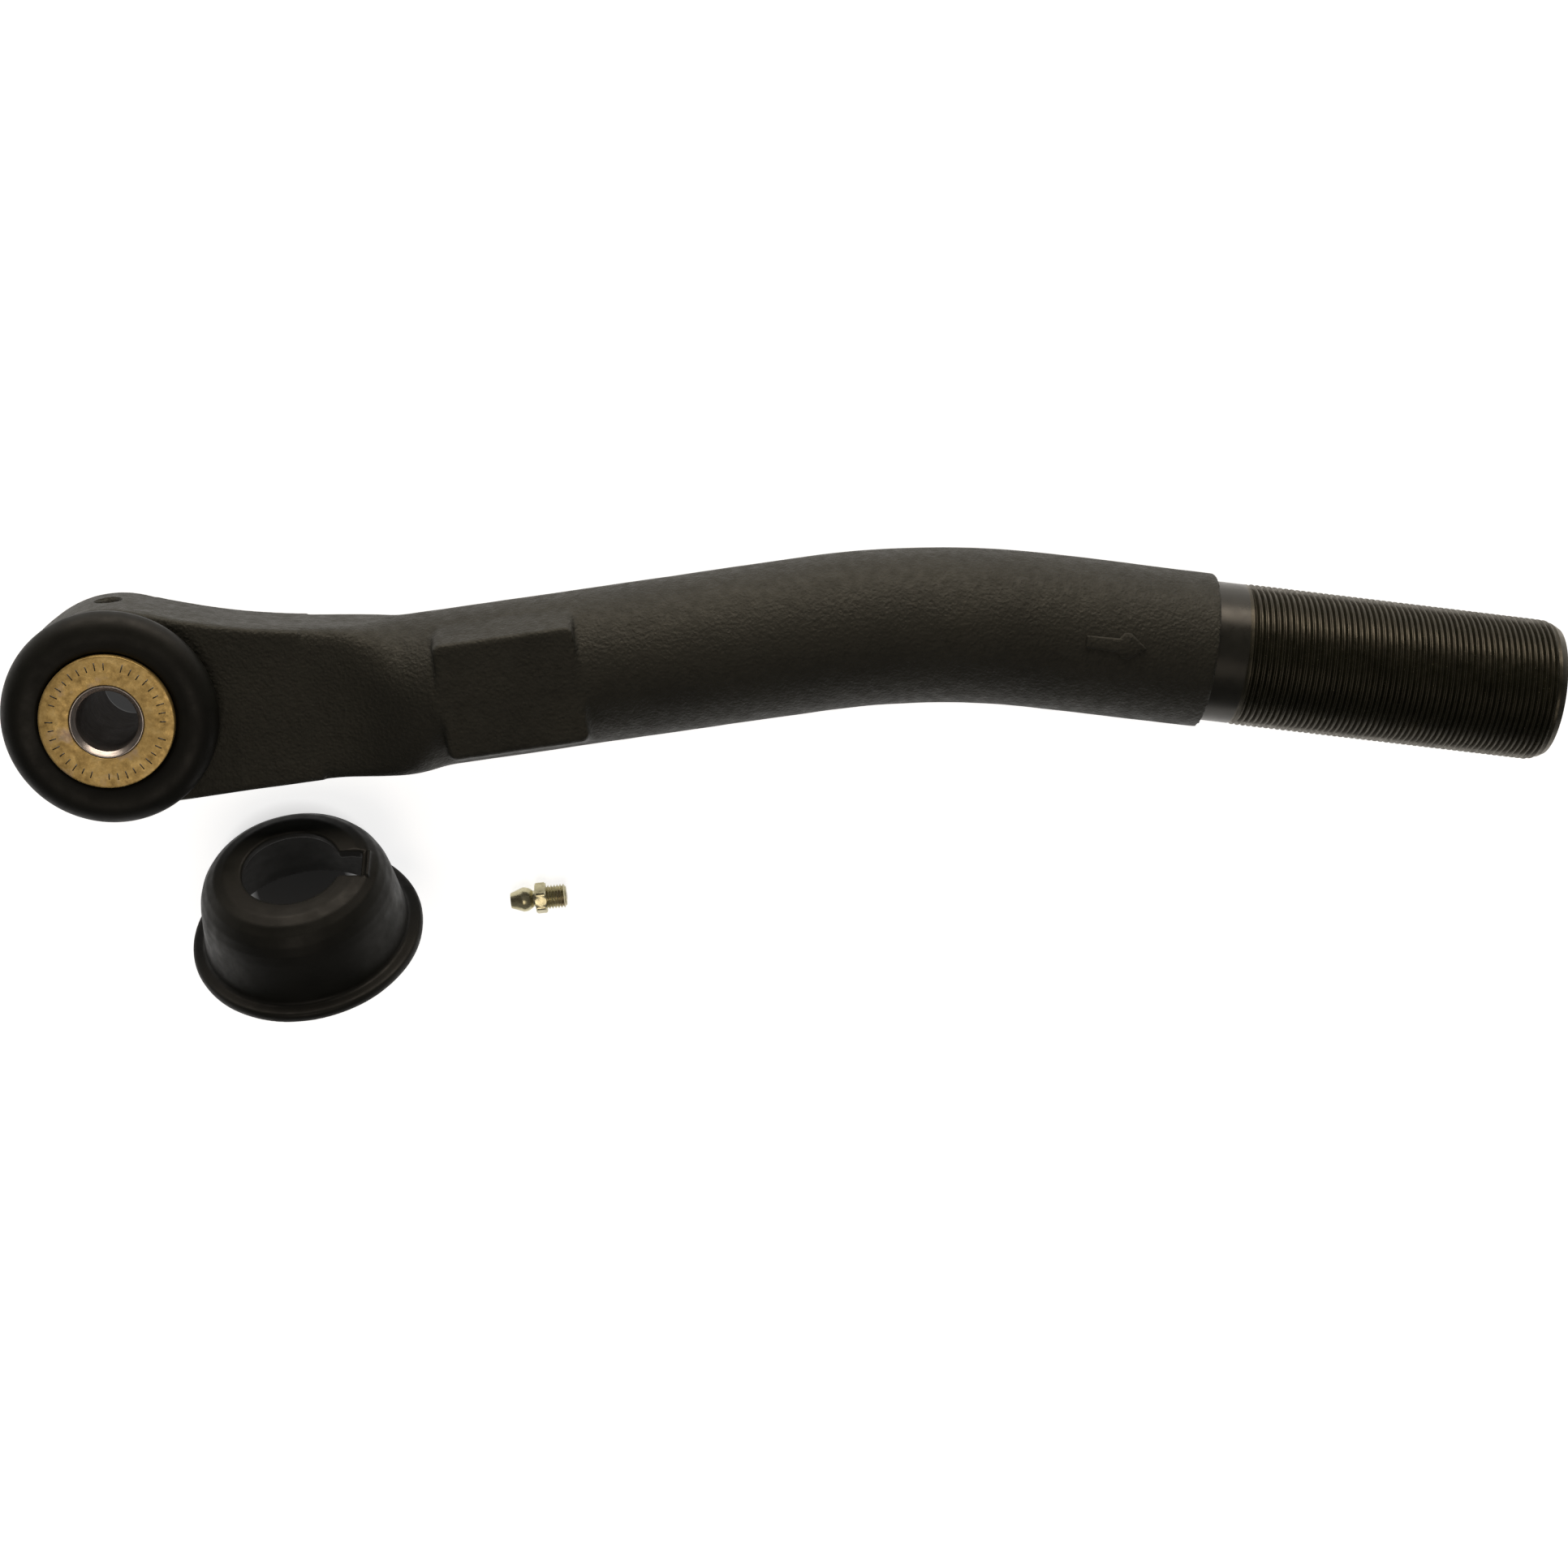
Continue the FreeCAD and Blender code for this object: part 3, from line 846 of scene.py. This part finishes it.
BOOT_PLACE = standing_place(BOOT_AXIS, BOOT_RIM_CENTRE)


def build_loose_boot(material):
    """Bell-shaped dust boot with a keyed hole, standing on the edge of its rim."""
    shell = lathe(
        "loose_boot_skin",
        [
            (23.3, 0.05), (29.4, 0.05, 0.5), (29.75, 1.6), (29.4, 3.1, 0.7), (27.6, 3.2, 0.3),
            (26.25, 3.3, 0.6), (25.6, 9.0), (24.8, 16.0), (24.35, 18.4), (23.4, 21.0), (21.9, 23.3),
            (19.8, 25.0), (17.2, 25.85), (14.5, 25.95), (12.5, 25.9, 0.35), (12.5, 23.4, 0.3), (15.2, 23.3),
            (18.0, 22.6), (20.2, 20.9), (21.6, 18.2), (22.2, 15.0), (22.8, 9.0), (23.2, 3.4),
        ],
        segments=160,
    )
    key, above = 4.3, 28.0
    slot_box = box_object("slot", (8.0, -key, 20.0), (17.7, key, above))
    recess = box_object("recess", (17.0, -key, 24.9), (22.6, key, above))
    cut_with(shell, [slot_box, recess])
    rib = box_object("rib", (19.1, -4.4, 23.6), (19.9, 4.4, 25.7))
    body = joined("loose_boot_skin", [shell, rib])
    remeshed(body, 0.36, smoothing=3)
    swollen(body, lambda p: noise.noise(p * 0.09) * 0.08 - 0.06)
    body.data.materials.clear()
    body.data.materials.append(material)
    body.data.transform(BOOT_PLACE)
    body.data.shade_smooth()
    return body


FITTING_PLACE = (
    Matrix.Translation(Vector(FITTING_MIDDLE) * MM)
    @ Matrix.Rotation(FITTING_ANGLE, 4, "Z")
    @ Matrix.Rotation(math.pi / 2, 4, "Y")
    @ Matrix.Translation((0, 0, -FITTING_HALF * MM))
)


def build_fitting(material):
    """Grease fitting: head, neck and thread turned as one, and the hexagon round them."""
    profile = [(0.75, -0.18), (2.0, -0.18, 0.15), (3.1, 2.75)]
    head_r, head_z = 3.24, 3.3
    for i in range(10):
        angle = math.radians(85 + i * 6.1)
        profile.append((head_r * math.sin(angle), head_z - head_r * math.cos(angle)))
    profile += [(2.15, 5.95, 0.3), (2.25, 6.5), (2.9, 6.5), (2.9, 9.35), (2.75, 9.5)]
    root, crest, pitch = 2.62, 3.17, 0.8
    for i in range(6):
        at = 9.55 + i * pitch
        profile += [(root, at, 0.1), (crest, at + 0.32, 0.1)]
        profile += [(crest, at + 0.42, 0.1), (root, at + 0.72, 0.1)]
    profile += [(2.6, 14.45), (2.4, 14.58), (1.15, 14.58), (1.15, 1.25), (0.75, 0.95)]
    turned = lathe("fitting_turned", profile, material, 72)
    sharp_edges(turned, 32)
    count, corner_r = 48, 4.28
    rings = []
    for z, inset in ((6.4, 0.5), (6.75, 0.0), (8.95, 0.0), (9.3, 0.5)):
        ring = []
        for k in range(count):
            angle = 2 * math.pi * (k + 0.5) / count
            sector = (angle + math.pi / 6) % (math.pi / 3) - math.pi / 6
            radius = min(HEXAGON_HALF / math.cos(sector), corner_r - inset)
            ring.append(Vector((radius * math.cos(angle), radius * math.sin(angle), z)) * MM)
        rings.append(ring)
    hexagon = tube("fitting_hexagon", rings)
    hexagon.data.materials.append(material)
    sharp_edges(hexagon, 25)
    for piece in (turned, hexagon):
        piece.data.transform(FITTING_PLACE)
    return turned, hexagon


def build_coil(material):
    """Spring behind the check ball, built at one fixed length."""
    turns, sides, wire = 7, 24, 0.14
    coil_r, start, length = 0.8, 2.9, 9.8
    rings = []
    for i in range(turns * sides + 1):
        angle = 2 * math.pi * i / sides
        out = Vector((math.cos(angle), math.sin(angle), 0))
        centre = out * coil_r + Vector((0, 0, start + length * i / (turns * sides)))
        ring = []
        for k in range(8):
            around = 2 * math.pi * k / 8
            offset = out * wire * math.cos(around) + Vector((0, 0, wire * math.sin(around)))
            ring.append((centre + offset) * MM)
        rings.append(ring)
    obj = tube("fitting_coil", rings)
    obj.data.materials.append(material)
    obj.data.transform(FITTING_PLACE)
    return obj


# ---------------------------------------------------------------- build
COATING = coated_steel()
THREAD = oiled_thread()
LAND = machined_land()
BOOT_RUBBER = rubber("boot_rubber", (0.0038, 0.0038, 0.0028), (0.0085, 0.0085, 0.0065))
LOOSE_RUBBER = rubber("loose_rubber", (0.0042, 0.0042, 0.0032), (0.0095, 0.0094, 0.0074))
ZINC = yellow_zinc(
    "yellow_zinc", (0.20, 0.125, 0.035), (0.38, 0.255, 0.085), (0.50, 0.36, 0.145), 0.7, (0.34, 0.52)
)
PALE_ZINC = yellow_zinc(
    "pale_zinc", (0.34, 0.30, 0.17), (0.54, 0.49, 0.30), (0.74, 0.69, 0.46), 0.8, (0.22, 0.36)
)
SLEEVE_STEEL = bare_steel("sleeve_steel", (0.34, 0.30, 0.27), 0.33, (1, 1, 8))
RACE_STEEL = bare_steel("race_steel", (0.42, 0.42, 0.43), 0.3, (1, 1, 10))
DARK_STEEL = bare_steel("dark_steel", (0.08, 0.078, 0.072), 0.45)
PLASTIC = bearing_plastic()

forging = build_forging(COATING)
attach(forging, "housing")
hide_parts("rod_forging")
for piece in build_shank(THREAD, LAND):
    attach(piece, "housing")

sleeve = build_sleeve(SLEEVE_STEEL)
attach(sleeve, "sleeve")
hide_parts("ball_sleeve")
washer = build_washer(ZINC)
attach(washer, "sleeve")
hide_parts("seal_washer")
ticks = washer_ticks(DARK_STEEL)
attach(ticks, "sleeve")

boot_foot, boot_shoulder, boot_lip = build_front_boot(BOOT_RUBBER)
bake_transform(boot_foot)
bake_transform(boot_shoulder)
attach(boot_lip, "lip")
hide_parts("front_boot")

loose_boot = build_loose_boot(LOOSE_RUBBER)
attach(loose_boot, "spare_boot")
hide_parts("loose_boot")

for piece in build_fitting(PALE_ZINC):
    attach(piece, "fitting")
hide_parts("fitting_body")

coil = build_coil(DARK_STEEL)
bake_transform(coil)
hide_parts("fitting_spring")

CAD_LOOK = {
    "front_race": RACE_STEEL,
    "rear_race": RACE_STEEL,
    "front_liner": PLASTIC,
    "rear_liner": PLASTIC,
    "disc_spring": DARK_STEEL,
    "cover_ring": DARK_STEEL,
    "snap_ring": DARK_STEEL,
    "front_boot_clamp": DARK_STEEL,
    "boot_lip_ring": DARK_STEEL,
    "loose_boot_ring": DARK_STEEL,
    "fitting_check_ball": RACE_STEEL,
    "fitting_spring_seat": DARK_STEEL,
}
for node, material in CAD_LOOK.items():
    for slot in frame["nodes"][node].material_slots:
        slot.material = material


# ---------------------------------------------------------------- stage, light and camera, in metres
# Contact shade on the floor: x, y, inner radius, outer radius, brightness at the middle.
SHADES = ((0.0, 0.0, 0.00825, 0.011, 0.05), (0.041, -0.055, 0.0115, 0.023, 0.012))
CAMERA_PLACE = (0.137, 0.180, 0.781)
CAMERA_RIGHT = (0.998, -0.0032, 0.0243)
CAMERA_BACK = (-0.0382, 0.2515, 0.9677)
CAMERA_LENS = 72.22


def build_floor():
    """A pale floor, with the soft contact shade under the bore and under the loose boot's rim."""
    material = new_material("floor", (0.9, 0.9, 0.9), 0.9)
    n = Nodes(material)
    n.shader.inputs["Specular IOR Level"].default_value = 0.0
    n.shader.inputs["Emission Strength"].default_value = 0.8
    shade = None
    for x, y, inner, outer, glow in SHADES:
        node = n.tree.nodes.new("ShaderNodeVectorMath")
        node.operation = "DISTANCE"
        node.inputs[1].default_value = (x, y, FLOOR_Z * MM)
        n.link(n.place, node.inputs[0])
        spot = n.grey(node.outputs["Value"], 0.0, 1.0, (glow, 1.0))
        ramp = spot.node.color_ramp
        ramp.interpolation = "EASE"
        ramp.elements[0].position = inner
        ramp.elements[1].position = outer
        shade = n.mix(1.0, shade, spot, "MULTIPLY") if shade else spot
    dark = n.ramp(shade, [(0.0, (0.035, 0.032, 0.026)), (1.0, (0.9, 0.9, 0.9))])
    n.set("Base Color", dark)
    n.set("Emission Color", shade)
    size = 3.0
    z = FLOOR_Z * MM
    corners = [(-size, -size, z), (size, -size, z), (size, size, z), (-size, size, z)]
    floor = add_object("floor", corners, [(0, 1, 2, 3)], material, smooth=False)


def area_light(name, place, target, size, power, size_y=None):
    data = bpy.data.lights.new(name, "AREA")
    data.shape = "RECTANGLE"
    data.size = size
    data.size_y = size_y or size
    data.energy = power
    data.color = (1.0, 0.90, 0.80)
    light = bpy.data.objects.new(name, data)
    light.location = place
    light.rotation_euler = (Vector(target) - Vector(place)).to_track_quat("-Z", "Y").to_euler()
    bpy.context.scene.collection.objects.link(light)


def build_lights():
    centre = (0.17, -0.01, 0.0)
    area_light("key", (0.15, 1.15, 0.26), centre, size=1.6, power=17, size_y=0.5)
    area_light("top", (0.08, -0.34, 1.3), centre, size=0.6, power=3.5)
    world = bpy.data.worlds.new("studio")
    world.use_nodes = True
    background = world.node_tree.nodes["Background"]
    background.inputs["Color"].default_value = (1, 1, 1, 1)
    background.inputs["Strength"].default_value = 0.12
    bpy.context.scene.world = world


def build_camera():
    data = bpy.data.cameras.new("camera")
    data.sensor_width = 36.0
    data.lens = CAMERA_LENS
    data.clip_start = 0.01
    camera = bpy.data.objects.new("camera", data)
    right = Vector(CAMERA_RIGHT)
    back = Vector(CAMERA_BACK).normalized()
    right = (right - back * right.dot(back)).normalized()
    up = back.cross(right)
    turn = Matrix((right, up, back)).transposed().to_4x4()
    camera.matrix_world = Matrix.Translation(CAMERA_PLACE) @ turn
    bpy.context.scene.collection.objects.link(camera)
    bpy.context.scene.camera = camera


build_floor()
build_lights()
build_camera()
bpy.context.scene.view_settings.view_transform = "Standard"
